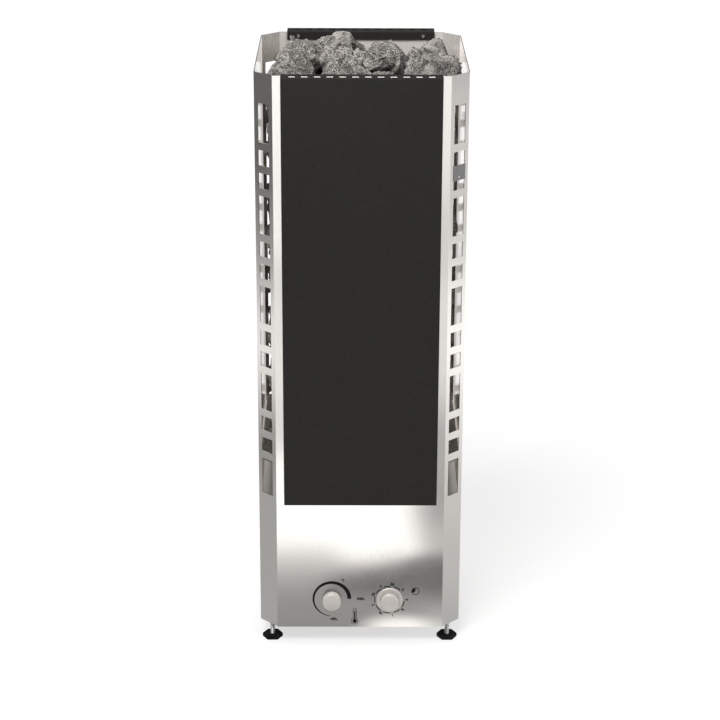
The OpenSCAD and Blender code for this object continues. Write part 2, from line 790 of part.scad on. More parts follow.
// Directions over a ball: the poles and staggered rings, turned as a whole for each stone
function spun(v, a, b) = let (x = v[0]*cos(a) - v[1]*sin(a), y = v[0]*sin(a) + v[1]*cos(a))
    [x*cos(b) + v[2]*sin(b), y, v[2]*cos(b) - x*sin(b)];
function ball(rings, sides) = concat([[0, 0, 1]],
    [for (r = [1:rings], m = [0:sides - 1])
        let (t = 180*r/(rings + 1), a = 360*(m + (r % 2)/2)/sides)
        [sin(t)*cos(a), sin(t)*sin(a), cos(t)]],
    [[0, 0, -1]]);
function ball_faces(rings, sides) = concat(
    [for (m = [0:sides - 1]) [0, 1 + (m + 1) % sides, 1 + m]],
    [for (r = [0:rings - 2], m = [0:sides - 1])
        let (a = 1 + r*sides + m, b = 1 + r*sides + (m + 1) % sides,
             skew = (r + 1) % 2 == 1 ? 1 : 0,
             c = 1 + (r + 1)*sides + (m + skew) % sides,
             e = 1 + (r + 1)*sides + (m + skew + sides - 1) % sides)
        each [[a, b, c], [a, c, e]]],
    [for (m = [0:sides - 1]) let (base = 1 + (rings - 1)*sides) [base + m, base + (m + 1) % sides, base + sides]]);
facing_share = 0.05;
function reach_of(d, planes, cap) = min(concat([cap],
    [for (p = planes) let (k = d*p[0]) if (k > facing_share) p[1]/k]));

module stone(c, rings, sides) {
    s = seed(c);
    id = stone_id(c);
    cap = cell_x*reach_share;
    near = [for (p = concat(neighbour_planes(c, s), wall_planes(s), rod_planes(s))) if (p[1] < cap) p];
    planes = concat(near, break_planes(c), is_top(c) ? crown_planes(c, s) : []);
    turn = 360*scatter(id, 5);
    tip = 360*scatter(id, 6);
    points = [for (v = ball(rings, sides)) let (d = spun(v, turn, tip)) s + d*reach_of(d, planes, cap)];
    polyhedron(points, ball_faces(rings, sides));
}
module stone_layers(low, high, rings, sides) {
    color("gray") for (k = [low:high], j = [0:cells_y - 1], i = [0:cells_x - 1]) stone([i, j, k], rings, sides);
}
low_layers = floor((cells_z - 1)/3);
high_layers = floor((cells_z - 1 - low_layers)/2);
module stones_low() { stone_layers(0, low_layers - 1, 5, 8); }
module stones_middle() { stone_layers(low_layers, cells_z - 2 - high_layers, 5, 8); }
module stones_high() { stone_layers(cells_z - 1 - high_layers, cells_z - 2, 5, 8); }
module stones_top() { stone_layers(cells_z - 1, cells_z - 1, 9, 12); }

// Turning knobs: a domed cap with a rounded edge and a recess for the nut
module knob_cap(bottom) {
    top = knob_h;
    r = knob_d/2;
    recess = nut14_h + knob_gap;
    difference() {
        rotate_extrude() polygon(concat(
            [[0, bottom], [r - knob_edge/2, bottom], [r, bottom + knob_edge/2]],
            [for (k = [0:6]) [r - knob_edge*(1 - cos(15*k)), top - knob_dome - knob_edge*(1 - sin(15*k))]],
            [for (k = [1:6]) [(r - knob_edge)*(1 - k/6), top - knob_dome*(1 - k/6)*(1 - k/6)]]));
        translate([0, 0, bottom - over]) cylinder(d = knob_recess_d, h = recess - bottom + over);
        cylinder(d = shaft_d + 2*run_fit, h = shaft_out);
    }
}
module thermostat_knob() {
    color("lightgray") on_front(-thermostat_x) knob_cap(knob_gap);
}
module timer_knob() {
    color("lightgray") on_front(timer_x) knob_cap(knob_gap + skirt_h);
}
module timer_skirt() {
    r = skirt_d/2;
    color("lightgray") on_front(timer_x) translate([0, 0, knob_gap]) rotate_extrude()
        polygon([[knob_recess_d/2, 0], [r, 0], [r, skirt_h - skirt_edge], [r - skirt_edge, skirt_h],
                 [knob_recess_d/2, skirt_h]]);
}
module shaft(x) {
    color("silver") on_front(x) translate([0, 0, -sheet_t - shaft_in + run_fit])
        cylinder(d = shaft_d, h = sheet_t + shaft_in + shaft_out - run_fit);
}
module thermostat_shaft() { shaft(-thermostat_x); }
module timer_shaft() { shaft(timer_x); }

// Levelling feet: a hexagonal pad with a socket, and a stud that turns in it
module foot_pad(sx, sy) {
    color("black") translate([sx*foot_x, sy*foot_y, 0]) difference() {
        cylinder(d = pad_w, h = pad_h, $fn = 6);
        translate([0, 0, pad_h - pad_socket]) cylinder(d = stud_d + 2*run_fit, h = pad_socket + over);
    }
}
module foot_stud(sx, sy) {
    color("lightgray") translate([sx*foot_x, sy*foot_y, pad_h - pad_socket + run_fit])
        cylinder(d = stud_d, h = stud_top - pad_h + pad_socket);
}
module foot_pad_front_left() { foot_pad(-1, -1); }
module foot_pad_front_right() { foot_pad(1, -1); }
module foot_pad_rear_left() { foot_pad(-1, 1); }
module foot_pad_rear_right() { foot_pad(1, 1); }
module foot_stud_front_left() { foot_stud(-1, -1); }
module foot_stud_front_right() { foot_stud(1, -1); }
module foot_stud_rear_left() { foot_stud(-1, 1); }
module foot_stud_rear_right() { foot_stud(1, 1); }

left_shell();
right_shell();
front_panel();
rear_panel();
front_cover();
rear_cover();
cover_screws();
cover_nuts();
cover_brackets();
corner_plate();
base_plate();
foot_bushes();
element_plate();
heat_shield();
shield_spacers();
grate_ledges();
stone_grate();
element_left();
element_middle();
element_right();
element_fittings();
star_bar();
terminal_block();
terminal_screws();
thermostat_body();
thermostat_nut();
thermostat_sensor();
timer_body();
timer_nut();
limiter_body();
limiter_sensor();
gland_body();
gland_cap();
gland_nut();
stones_low();
stones_middle();
stones_high();
stones_top();
thermostat_knob();
thermostat_shaft();
timer_knob();
timer_skirt();
timer_shaft();
reset_button();
foot_pad_front_left();
foot_pad_front_right();
foot_pad_rear_left();
foot_pad_rear_right();
foot_stud_front_left();
foot_stud_front_right();
foot_stud_rear_left();
foot_stud_rear_right();
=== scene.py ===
import json
import math

import bmesh
import bpy
from mathutils import Matrix, Vector, noise


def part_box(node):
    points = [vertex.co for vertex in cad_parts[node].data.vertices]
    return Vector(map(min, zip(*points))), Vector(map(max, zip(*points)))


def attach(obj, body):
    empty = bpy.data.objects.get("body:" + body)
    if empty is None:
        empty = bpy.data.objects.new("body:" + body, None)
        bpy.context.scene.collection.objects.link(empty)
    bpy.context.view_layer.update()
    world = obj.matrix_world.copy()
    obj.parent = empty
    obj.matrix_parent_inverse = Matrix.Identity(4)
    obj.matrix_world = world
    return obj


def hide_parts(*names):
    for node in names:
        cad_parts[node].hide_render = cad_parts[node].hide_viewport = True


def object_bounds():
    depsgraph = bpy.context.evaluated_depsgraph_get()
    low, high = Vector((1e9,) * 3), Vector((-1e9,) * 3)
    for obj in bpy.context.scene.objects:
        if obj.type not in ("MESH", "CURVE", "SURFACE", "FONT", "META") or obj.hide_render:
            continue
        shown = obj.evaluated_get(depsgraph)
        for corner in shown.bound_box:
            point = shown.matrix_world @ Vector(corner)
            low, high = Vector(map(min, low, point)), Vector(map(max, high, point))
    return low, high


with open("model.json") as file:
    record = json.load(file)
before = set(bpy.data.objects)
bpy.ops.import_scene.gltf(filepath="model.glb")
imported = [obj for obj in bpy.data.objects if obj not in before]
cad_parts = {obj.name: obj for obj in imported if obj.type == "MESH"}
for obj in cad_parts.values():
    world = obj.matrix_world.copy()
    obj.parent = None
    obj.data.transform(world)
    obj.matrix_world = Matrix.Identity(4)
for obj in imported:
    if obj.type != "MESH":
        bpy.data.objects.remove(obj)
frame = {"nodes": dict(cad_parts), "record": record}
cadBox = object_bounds()
nodes = frame["nodes"]
print("stage: frame loaded,", len(nodes), "nodes")

# camera, fitted to the casing's corners in the photograph
cameraView = {
    "place": (-0.018148, -3.477848, 1.712633),
    "lens": 104.331,
    "sensor": 36.0,
    "heading": 0.29254,  # degrees to the right of straight ahead
    "pitch": 19.7812,  # degrees down
    "roll": 0.2033,
    "near": 0.1,
    "far": 200.0,
}


def makeCamera(view):
    data = bpy.data.cameras.new("camera")
    data.lens = view["lens"]
    data.sensor_width = view["sensor"]
    data.clip_start = view["near"]
    data.clip_end = view["far"]
    camera = bpy.data.objects.new("camera", data)
    bpy.context.scene.collection.objects.link(camera)
    heading, pitch, roll = (math.radians(view[k]) for k in ("heading", "pitch", "roll"))
    turn = Matrix.Rotation(-heading, 4, "Z") @ Matrix.Rotation(math.pi / 2 - pitch, 4, "X")
    camera.matrix_world = Matrix.Translation(view["place"]) @ turn @ Matrix.Rotation(roll, 4, "Z")
    bpy.context.scene.camera = camera


makeCamera(cameraView)
bpy.context.scene.view_settings.view_transform = "Standard"
print("stage: camera")


# small helpers for shader trees
def addNode(tree, kind, inputs=None, **settings):
    node = tree.nodes.new(kind)
    for name, value in settings.items():
        setattr(node, name, value)
    for socket, value in (inputs or {}).items():
        if isinstance(value, bpy.types.NodeSocket):
            tree.links.new(value, node.inputs[socket])
        else:
            node.inputs[socket].default_value = value
    return node


def rgb(colour):
    return (*colour, 1.0)


def ramp(tree, value, low, high, toLow=0.0, toHigh=1.0):
    inputs = {"Value": value, "From Min": low, "From Max": high, "To Min": toLow, "To Max": toHigh}
    return addNode(tree, "ShaderNodeMapRange", inputs, interpolation_type="SMOOTHSTEP").outputs["Result"]


def sums(tree, kind, a, b=0.0):
    node = addNode(tree, "ShaderNodeMath", {0: a, 1: b}, operation=kind)
    return node.outputs[0]


def blendColour(tree, factor, low, high):
    node = addNode(tree, "ShaderNodeMix", data_type="RGBA")
    for socket, value in ((node.inputs["Factor"], factor), (node.inputs[6], low), (node.inputs[7], high)):
        if isinstance(value, bpy.types.NodeSocket):
            tree.links.new(value, socket)
        else:
            socket.default_value = value if isinstance(value, float) else rgb(value[:3])
    return node.outputs[2]


def newGroup(name, inputs, outputs):
    group = bpy.data.node_groups.new(name, "ShaderNodeTree")
    for label, kind, value in inputs:
        socket = group.interface.new_socket(label, in_out="INPUT", socket_type="NodeSocket" + kind)
        socket.default_value = value
    for label, kind in outputs:
        group.interface.new_socket(label, in_out="OUTPUT", socket_type="NodeSocket" + kind)
    return group, group.nodes.new("NodeGroupInput"), group.nodes.new("NodeGroupOutput")


# where the groups' noises and bevels start to show, and where they are full
groupLook = {"grain": (0.3, 0.7), "edge": (0.999, 0.93), "edgeSamples": 4, "patches": (0.25, 0.6), "patchDetail": 4.0}


# fine lines or grains: noise stretched by Stretch, at Scale per metre
def makeGrainGroup():
    inputs = [("Stretch", "Vector", (1.0, 1.0, 1.0)), ("Scale", "Float", 1000.0), ("Detail", "Float", 3.0)]
    group, start, end = newGroup("grain", inputs, [("Mask", "Float")])
    place = addNode(group, "ShaderNodeTexCoord").outputs["Object"]
    stretched = addNode(group, "ShaderNodeVectorMath", {0: place, 1: start.outputs["Stretch"]}, operation="MULTIPLY")
    texture = addNode(group, "ShaderNodeTexNoise", {
        "Vector": stretched.outputs[0], "Scale": start.outputs["Scale"], "Detail": start.outputs["Detail"]})
    group.links.new(ramp(group, texture.outputs["Fac"], *groupLook["grain"]), end.inputs["Mask"])
    return group


# painted highlight on sharp edges, broken up in patches like wear: bright on sharp edges, dark elsewhere
def makeEdgeGroup():
    inputs = [("Width", "Float", 0.0006), ("Breakup", "Float", 300.0)]
    group, start, end = newGroup("edge highlight and wear", inputs, [("Mask", "Float")])
    soft = addNode(group, "ShaderNodeBevel", {"Radius": start.outputs["Width"]}, samples=groupLook["edgeSamples"])
    sharp = addNode(group, "ShaderNodeNewGeometry").outputs["Normal"]
    match = addNode(group, "ShaderNodeVectorMath", {0: soft.outputs[0], 1: sharp}, operation="DOT_PRODUCT")
    place = addNode(group, "ShaderNodeTexCoord").outputs["Object"]
    patches = addNode(group, "ShaderNodeTexNoise", {
        "Vector": place, "Scale": start.outputs["Breakup"], "Detail": groupLook["patchDetail"]})
    edge = ramp(group, match.outputs["Value"], *groupLook["edge"])
    broken = ramp(group, patches.outputs["Fac"], *groupLook["patches"])
    group.links.new(sums(group, "MULTIPLY", edge, broken), end.inputs["Mask"])
    return group


# bright on faces that look at the middle of the casing; the more they lie across the front or rear, from Start to Full
def makeInsideGroup():
    inputs = [("Turn", "Float", -0.25), ("Start", "Float", 0.8), ("Full", "Float", 0.95)]
    group, start, end = newGroup("inner side", inputs, [("Mask", "Float")])
    place = addNode(group, "ShaderNodeTexCoord").outputs["Object"]
    flat = addNode(group, "ShaderNodeVectorMath", {0: place, 1: (1.0, 1.0, 0.0)}, operation="MULTIPLY")
    outward = addNode(group, "ShaderNodeVectorMath", {0: flat.outputs[0]}, operation="NORMALIZE")
    normal = addNode(group, "ShaderNodeNewGeometry").outputs["Normal"]
    facing = addNode(group, "ShaderNodeVectorMath", {0: outward.outputs[0], 1: normal}, operation="DOT_PRODUCT")
    across = sums(group, "ABSOLUTE", addNode(group, "ShaderNodeSeparateXYZ", {0: normal}).outputs["Y"])
    inner = ramp(group, facing.outputs["Value"], 0.0, start.outputs["Turn"])
    crosswise = ramp(group, across, start.outputs["Start"], start.outputs["Full"])
    group.links.new(sums(group, "MULTIPLY", inner, crosswise), end.inputs["Mask"])
    return group


grainGroup = makeGrainGroup()
edgeGroup = makeEdgeGroup()
insideGroup = makeInsideGroup()


def useGroup(tree, group, **inputs):
    node = addNode(tree, "ShaderNodeGroup", node_tree=group)
    for name, value in inputs.items():
        node.inputs[name.capitalize()].default_value = value
    return node.outputs["Mask"]


def newMaterial(name):
    material = bpy.data.materials.new(name)
    material.use_nodes = True
    tree = material.node_tree
    return material, tree, tree.nodes["Principled BSDF"]


def setShader(tree, shader, colour, roughness, height, relief):
    tree.links.new(colour, shader.inputs["Base Color"])
    tree.links.new(roughness, shader.inputs["Roughness"])
    bump = addNode(tree, "ShaderNodeBump", {"Height": height, "Distance": relief})
    tree.links.new(bump.outputs["Normal"], shader.inputs["Normal"])


# brushed stainless sheet: grain runs up the sheet, and the inner side is a duller mill finish
brushedLook = {
    "colour": (0.95, 0.92, 0.88), "shade": (0.86, 0.83, 0.79), "edge": (0.97, 0.95, 0.92),
    "metallic": 0.97, "smooth": 0.11, "rough": 0.19, "stretch": (1.0, 1.0, 0.02), "scale": 2600.0, "relief": 0.000002,
    "clouds": 9.0, "cloudDetail": 5.0, "lineShade": 0.5, "lineRough": 0.6, "cloudRough": 0.4,
    "inside": (0.90, 0.855, 0.815), "insideShade": (0.80, 0.755, 0.715), "insideMetallic": 0.25, "insideRough": 0.45,
    "insideStart": 0.5, "insideFull": 0.9,
    # glow that the inner sides give off in reflections only: painted light
    "paintedInsideGlow": (0.42, 0.40, 0.38), "mirroredStart": 0.95, "mirroredFull": 0.8,
}


def makeBrushed(name, look):
    material, tree, shader = newMaterial(name)
    lines = useGroup(tree, grainGroup, stretch=look["stretch"], scale=look["scale"])
    clouds = useGroup(tree, grainGroup, scale=look["clouds"], detail=look["cloudDetail"])
    edge = useGroup(tree, edgeGroup)
    inner = useGroup(tree, insideGroup, start=look["insideStart"], full=look["insideFull"])
    tone = blendColour(tree, sums(tree, "MULTIPLY", lines, look["lineShade"]), look["colour"], look["shade"])
    dull = blendColour(tree, clouds, look["inside"], look["insideShade"])
    tone = blendColour(tree, inner, tone, dull)
    # painted highlight: lighter steel on sharp edges
    tone = blendColour(tree, edge, tone, look["edge"])
    roughLines = sums(tree, "MULTIPLY", lines, look["lineRough"])
    mix = sums(tree, "ADD", roughLines, sums(tree, "MULTIPLY", clouds, look["cloudRough"]))
    rough = ramp(tree, mix, 0.0, 1.0, look["smooth"], look["rough"])
    rough = sums(tree, "ADD", rough, sums(tree, "MULTIPLY", inner, look["insideRough"] - look["rough"]))
    setShader(tree, shader, tone, rough, lines, look["relief"])
    metallic = ramp(tree, inner, 0.0, 1.0, look["metallic"], look["insideMetallic"])
    tree.links.new(metallic, shader.inputs["Metallic"])
    # painted glow: the shells' inner sides glow for glossy rays only, so the sheet that mirrors them shows them lighter
    shell = useGroup(tree, insideGroup, start=look["mirroredStart"], full=look["mirroredFull"])
    rays = addNode(tree, "ShaderNodeLightPath").outputs["Is Glossy Ray"]
    glow = blendColour(tree, sums(tree, "MULTIPLY", shell, rays), [0.0] * 3, look["paintedInsideGlow"])
    tree.links.new(glow, shader.inputs["Emission Color"])
    shader.inputs["Emission Strength"].default_value = 1.0
    material.cycles.emission_sampling = "NONE"
    return material


# powder coat on the covers
coatLook = {
    "colour": (0.0198, 0.0190, 0.0172), "speck": (0.0345, 0.0330, 0.0298), "edge": (0.046, 0.044, 0.040),
    "smooth": 0.45, "rough": 0.65, "specular": 0.08, "scale": 1500.0, "detail": 2.0, "relief": 0.00006,
}


def makeCoat(name, look):
    material, tree, shader = newMaterial(name)
    grains = useGroup(tree, grainGroup, scale=look["scale"], detail=look["detail"])
    edge = useGroup(tree, edgeGroup)
    tone = blendColour(tree, grains, look["colour"], look["speck"])
    # painted highlight: lighter coat on sharp edges, broken up like wear
    tone = blendColour(tree, edge, tone, look["edge"])
    setShader(tree, shader, tone, ramp(tree, grains, 0.0, 1.0, look["rough"], look["smooth"]), grains, look["relief"])
    shader.inputs["Specular IOR Level"].default_value = look["specular"]
    return material


# broken stone: brownish grey ground with pale and dark crystals of two sizes, darker in patches; painted shade darkens
# it in its crevices and between stones, and painted highlight lightens its sharp crests
stoneLook = {
    "ground": (0.096, 0.091, 0.083), "dark": (0.010, 0.0095, 0.0085), "pale": (0.55, 0.52, 0.475), "crease": 0.022,
    "crystals": 450.0, "grains": 820.0, "veins": 52.0, "relief": 0.0009,
    "noiseDetail": {"crystals": 2.0, "grains": 2.0, "veins": 5.0}, "noiseRough": 0.6, "creaseSamples": 6,
    # what covers the ground, in order: mask, colour, where the mask starts, where it is full, and how much it hides
    "layers": (
        ("grains", "pale", 0.52, 0.62, 0.8), ("crystals", "pale", 0.53, 0.60, 0.85),
        ("crystals", "dark", 0.48, 0.41, 0.9), ("grains", "dark", 0.46, 0.36, 0.8),
        ("veins", "dark", 0.42, 0.62, 0.42), ("creaseShade", "dark", 0.7, 0.2, 0.6), ("ridgeHighlight", "pale", 0.50, 0.56, 0.35)),
    "crystalRelief": 0.5, "glossStart": 0.3, "glossFull": 0.7, "rough": 0.9, "smooth": 0.55,
}


def makeStone(name, look):
    material, tree, shader = newMaterial(name)
    place = addNode(tree, "ShaderNodeTexCoord").outputs["Object"]
    masks = {}
    for key, detail in look["noiseDetail"].items():
        masks[key] = addNode(tree, "ShaderNodeTexNoise", {
            "Vector": place, "Scale": look[key], "Detail": detail, "Roughness": look["noiseRough"]}).outputs["Fac"]
    # painted shade: darker where nearby stone hems the surface in, in crevices and between stones
    nearby = addNode(tree, "ShaderNodeAmbientOcclusion", {"Distance": look["crease"]}, samples=look["creaseSamples"])
    masks["creaseShade"] = nearby.outputs["AO"]
    # painted highlight: paler on sharp crests of the stone
    masks["ridgeHighlight"] = addNode(tree, "ShaderNodeNewGeometry").outputs["Pointiness"]
    tone = look["ground"]
    for mask, colour, start, full, share in look["layers"]:
        tone = blendColour(tree, ramp(tree, masks[mask], start, full, 0.0, share), tone, look[colour])
    height = sums(tree, "ADD", sums(tree, "MULTIPLY", masks["crystals"], look["crystalRelief"]), masks["veins"])
    rough = ramp(tree, masks["grains"], look["glossStart"], look["glossFull"], look["rough"], look["smooth"])
    setShader(tree, shader, tone, rough, height, look["relief"])
    return material


# plain finishes of small pieces: colour, shade, metallic, roughness range, grain size and relief
finishes = {
    "inner_steel": ((0.7, 0.69, 0.67), (0.58, 0.57, 0.55), 0.85, (0.3, 0.42), 700.0, 0.00002),
    "grey_plate": ((0.3, 0.3, 0.3), (0.24, 0.24, 0.24), 0.6, (0.45, 0.6), 900.0, 0.00002),
    "fasteners": ((0.72, 0.72, 0.72), (0.55, 0.55, 0.56), 0.9, (0.22, 0.38), 1200.0, 0.00002),
    "studs": ((0.6, 0.6, 0.6), (0.45, 0.45, 0.45), 0.9, (0.25, 0.4), 900.0, 0.00002),
    "grate_steel": ((0.3, 0.28, 0.26), (0.16, 0.13, 0.11), 0.7, (0.45, 0.7), 160.0, 0.00006),
    "element_steel": ((0.1, 0.105, 0.1), (0.05, 0.05, 0.05), 0.6, (0.4, 0.6), 300.0, 0.00004),
    "brass": ((0.75, 0.55, 0.26), (0.6, 0.42, 0.18), 1.0, (0.2, 0.36), 800.0, 0.00002),
    "copper": ((0.78, 0.42, 0.26), (0.5, 0.26, 0.16), 1.0, (0.25, 0.42), 500.0, 0.00002),
    "steatite": ((0.82, 0.79, 0.7), (0.72, 0.69, 0.6), 0.0, (0.5, 0.7), 500.0, 0.00005),
    "control_plastic": ((0.72, 0.71, 0.68), (0.64, 0.63, 0.6), 0.0, (0.4, 0.55), 900.0, 0.00004),
    "black_plastic": ((0.025, 0.025, 0.025), (0.04, 0.04, 0.04), 0.0, (0.4, 0.55), 900.0, 0.00004),
    "knob_satin": ((0.72, 0.68, 0.64), (0.66, 0.62, 0.58), 0.35, (0.36, 0.46), 1600.0, 0.000015),
    "red_plastic": ((0.6, 0.02, 0.015), (0.45, 0.015, 0.012), 0.0, (0.25, 0.4), 600.0, 0.00002),
    "ink": ((0.006, 0.006, 0.006), (0.012, 0.012, 0.012), 0.0, (0.7, 0.85), 2000.0, 0.000005),
    "foot_rubber": ((0.004, 0.004, 0.004), (0.01, 0.01, 0.01), 0.0, (0.6, 0.75), 700.0, 0.00005),
}
finishClouds = {"size": 25, "detail": 5.0}  # size of the clouds, in grains
# painted reflection: a darker tone that a finish shows only to the sheet that mirrors it, standing in for shade
paintedDarkReflection = {"knob_satin": (0.13, 0.125, 0.12)}  # tone that a finish shows to the sheet that mirrors it
dullFinishes = {"ink": 0.15, "foot_rubber": 0.15}  # specular level


def makeFinish(name, colour, shade, metallic, roughs, scale, relief):
    material, tree, shader = newMaterial(name)
    grains = useGroup(tree, grainGroup, scale=scale)
    clouds = useGroup(tree, grainGroup, scale=scale / finishClouds["size"], detail=finishClouds["detail"])
    tone = blendColour(tree, sums(tree, "MULTIPLY", clouds, grains), colour, shade)
    # painted shade in the reflection: a darker tone for glossy rays
    if name in paintedDarkReflection:
        rays = addNode(tree, "ShaderNodeLightPath").outputs["Is Glossy Ray"]
        tone = blendColour(tree, rays, tone, paintedDarkReflection[name])
    setShader(tree, shader, tone, ramp(tree, grains, 0.0, 1.0, *roughs), grains, relief)
    shader.inputs["Metallic"].default_value = metallic
    if name in dullFinishes:
        shader.inputs["Specular IOR Level"].default_value = dullFinishes[name]
    return material


materials = {name: makeFinish(name, *values) for name, values in finishes.items()}
materials["brushed_steel"] = makeBrushed("brushed_steel", brushedLook)
materials["black_coat"] = makeCoat("black_coat", coatLook)
materials["stone"] = makeStone("stone", stoneLook)

for part in frame["record"]["subparts"]:
    mesh = nodes[part["node"]].data
    mesh.materials.clear()
    mesh.materials.append(materials[part["material_slot"]])
print("stage: materials,", len(materials))


# a new piece that rides on a body; its finish is its slot's, unless another is named
def addPiece(name, work, slot, body, finish=None):
    mesh = bpy.data.meshes.new(name)
    work.to_mesh(mesh)
    work.free()
    mesh.materials.append(materials[finish or slot])
    piece = bpy.data.objects.new(name, mesh)
    bpy.context.scene.collection.objects.link(piece)
    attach(piece, body)
    return piece


# stones: the CAD solids, split finer, broken by planes, chipped and roughened
stoneShape = {
    "layers": {"stones_low": 2, "stones_middle": 2, "stones_high": 2, "stones_top": 2},
    "deepBreaks": 5, "deepLow": 0.83, "deepHigh": 0.94, "breaks": 3, "breakLow": 0.90, "breakHigh": 0.98,
    "chips": ((22.0, 0.22), (50.0, 0.17), (120.0, 0.12)),  # facets per metre, tilt
    "lumps": ((30.0, 0.0008), (90.0, 0.0005), (260.0, 0.0004), (600.0, 0.0003)),  # per metre, height
    "sink": 0.1, "seed": 11, "seedStep": 1000, "chipSeed": 7.0, "chipSink": 0.3, "weld": 0.00005,
}
# top stones cut one by one: the stone's place, how far its left and right ends move,
# and flats, each a direction and its distance from the origin
topStones = (
    {"near": (0.110, -0.112), "ends": (0.0, 0.011), "flats": (((0.641, 0.123, 0.758), 0.8588),)},
    {"near": (0.121, -0.054), "ends": (0.0, 0.007)},
    {"near": (-0.125, -0.140), "flats": (((-0.922, 0.044, 0.384), 0.5214),)},
    {"near": (0.125, 0.064), "ends": (-0.013, 0.0), "flats": (
        ((-0.749, 0.151, 0.646), 0.5948), ((-0.153, 0.196, 0.969), 0.9807), ((0.856, 0.063, 0.513), 0.6439))},
    {"near": (0.025, 0.034), "flats": (((0.042, 0.196, 0.98), 0.996),)},
    {"near": (-0.046, 0.068), "ends": (-0.008, 0.015), "flats": (
        ((-0.531, 0.152, 0.834), 0.9093), ((0.049, 0.188, 0.981), 1.0254), ((0.802, 0.11, 0.587), 0.6082))},
    {"near": (-0.105, 0.036), "flats": (
        ((-0.816, 0.087, 0.571), 0.6901), ((0.167, 0.192, 0.967), 0.9853))},
    {"near": (0.039, -0.036), "flats": (
        ((-0.63, 0.156, 0.761), 0.7722), ((0.775, 0.106, 0.624), 0.686))},
    {"near": (-0.117, -0.071), "flats": (
        ((-0.824, 0.085, 0.56), 0.6784), ((0.036, 0.196, 0.98), 0.9961))},
)


def boxMiddle(solid):
    return Vector([(min(v.co[axis] for v in solid) + max(v.co[axis] for v in solid)) / 2 for axis in range(3)])


# the stones of a node, from left to right
def splitSolids(work):
    left, solids = set(work.verts), []
    while left:
        queue = [left.pop()]
        solid = list(queue)
        while queue:
            for edge in queue.pop().link_edges:
                for v in edge.verts:
                    if v in left:
                        left.remove(v)
                        queue.append(v)
                        solid.append(v)
        solids.append(sorted(solid, key=lambda v: v.index))
    return sorted(solids, key=lambda solid: boxMiddle(solid).x)


def breakSolid(solid, shape, number):
    centre = sum((v.co for v in solid), Vector()) / len(solid)
    noise.seed_set(shape["seed"] + number)
    for step in range(shape["deepBreaks"] + shape["breaks"]):
        normal = noise.random_unit_vector()
        reach = max((v.co - centre).dot(normal) for v in solid)
        least, most = ("deepLow", "deepHigh") if step < shape["deepBreaks"] else ("breakLow", "breakHigh")
        limit = reach * (shape[least] + (shape[most] - shape[least]) * noise.random())
        for v in solid:
            ahead = (v.co - centre).dot(normal)
            if ahead > limit:
                v.co = centre + (v.co - centre) * (limit / ahead)


def trimSolid(solids, look):
    place = Vector(look["near"])
    solid = min(solids, key=lambda one: (boxMiddle(one).xy - place).length)
    low, high = min(v.co.x for v in solid), max(v.co.x for v in solid)
    left, right = look.get("ends", (0.0, 0.0))
    for v in solid:
        share = (v.co.x - low) / (high - low)
        v.co.x += left * (1 - share) + right * share
    centre = sum((v.co for v in solid), Vector()) / len(solid)
    for direction, distance in look.get("flats", ()):
        normal = Vector(direction)
        limit = distance - centre.dot(normal)
        for v in solid:
            ahead = (v.co - centre).dot(normal)
            if ahead > limit > 0:
                v.co = centre + (v.co - centre) * (limit / ahead)


# a flat facet around the nearest corner of a random pattern, leaning its own way
def chip(point, scale, tilt, shape):
    corner = noise.voronoi(point * scale)[1][0]
    lean = noise.cell_vector(corner * shape["chipSeed"]) * 2 - Vector((1, 1, 1))
    return tilt * ((point * scale - corner).dot(lean) - shape["chipSink"]) / scale


def roughen(point, shape):
    lumps = sum(height * (noise.noise(point * scale) - shape["sink"]) for scale, height in shape["lumps"])
    return lumps + sum(chip(point, scale, tilt, shape) for scale, tilt in shape["chips"])


def makeStones(name, cuts, shape, order):
    work = bmesh.new()
    work.from_mesh(nodes[name].data)
    bmesh.ops.remove_doubles(work, verts=work.verts, dist=shape["weld"])
    for _ in range(cuts):
        bmesh.ops.subdivide_edges(work, edges=work.edges, cuts=1, use_grid_fill=True)
    work.verts.index_update()
    solids = splitSolids(work)
    for number, solid in enumerate(solids):
        breakSolid(solid, shape, shape["seedStep"] * order + number)
    if name == "stones_top":
        for look in topStones:
            trimSolid(solids, look)
    bmesh.ops.triangulate(work, faces=work.faces)
    work.normal_update()
    lifts = [roughen(v.co, shape) for v in work.verts]
    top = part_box(name)[1].z
    for v, lift in zip(work.verts, lifts):
        v.co += v.normal * lift
        v.co.z = min(v.co.z, top)
    piece = addPiece(name + "_broken", work, "stone", "casing")
    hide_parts(name)
    return len(piece.data.polygons)


count = 0
for order, (name, cuts) in enumerate(stoneShape["layers"].items()):
    count += makeStones(name, cuts, stoneShape, order)
print("stage: stones,", count, "faces")

# levelling studs with a rolled thread
studShape = {"pitch": 0.00125, "depth": 0.0007, "sides": 24, "rows": 6, "lead": 0.0015}


def makeStud(name, shape):
    low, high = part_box(name)
    middle, radius = (low + high) / 2, (high.x - low.x) / 2
    step = shape["pitch"] / shape["rows"]
    count = round((high.z - low.z) / step)
    work = bmesh.new()
    rings = []
    for row in range(count + 1):
        z = low.z + (high.z - low.z) * row / count
        ends = min(1.0, min(z - low.z, high.z - z) / shape["lead"])
        ring = []
        for side in range(shape["sides"]):
            angle = 2 * math.pi * side / shape["sides"]
            turn = (z / shape["pitch"] - side / shape["sides"]) % 1.0
            r = radius - shape["depth"] * (abs(2 * turn - 1) * ends + 1 - ends)
            ring.append(work.verts.new((middle.x + r * math.cos(angle), middle.y + r * math.sin(angle), z)))
        rings.append(ring)
    for lower, upper in zip(rings, rings[1:]):
        for i in range(shape["sides"]):
            j = (i + 1) % shape["sides"]
            work.faces.new((lower[i], lower[j], upper[j], upper[i]))
    work.faces.new(rings[0][::-1])
    work.faces.new(rings[-1])
    piece = addPiece(name + "_threaded", work, "studs", name)
    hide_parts(name)


for name in nodes:
    if name.startswith("foot_stud"):
        makeStud(name, studShape)
print("stage: studs")


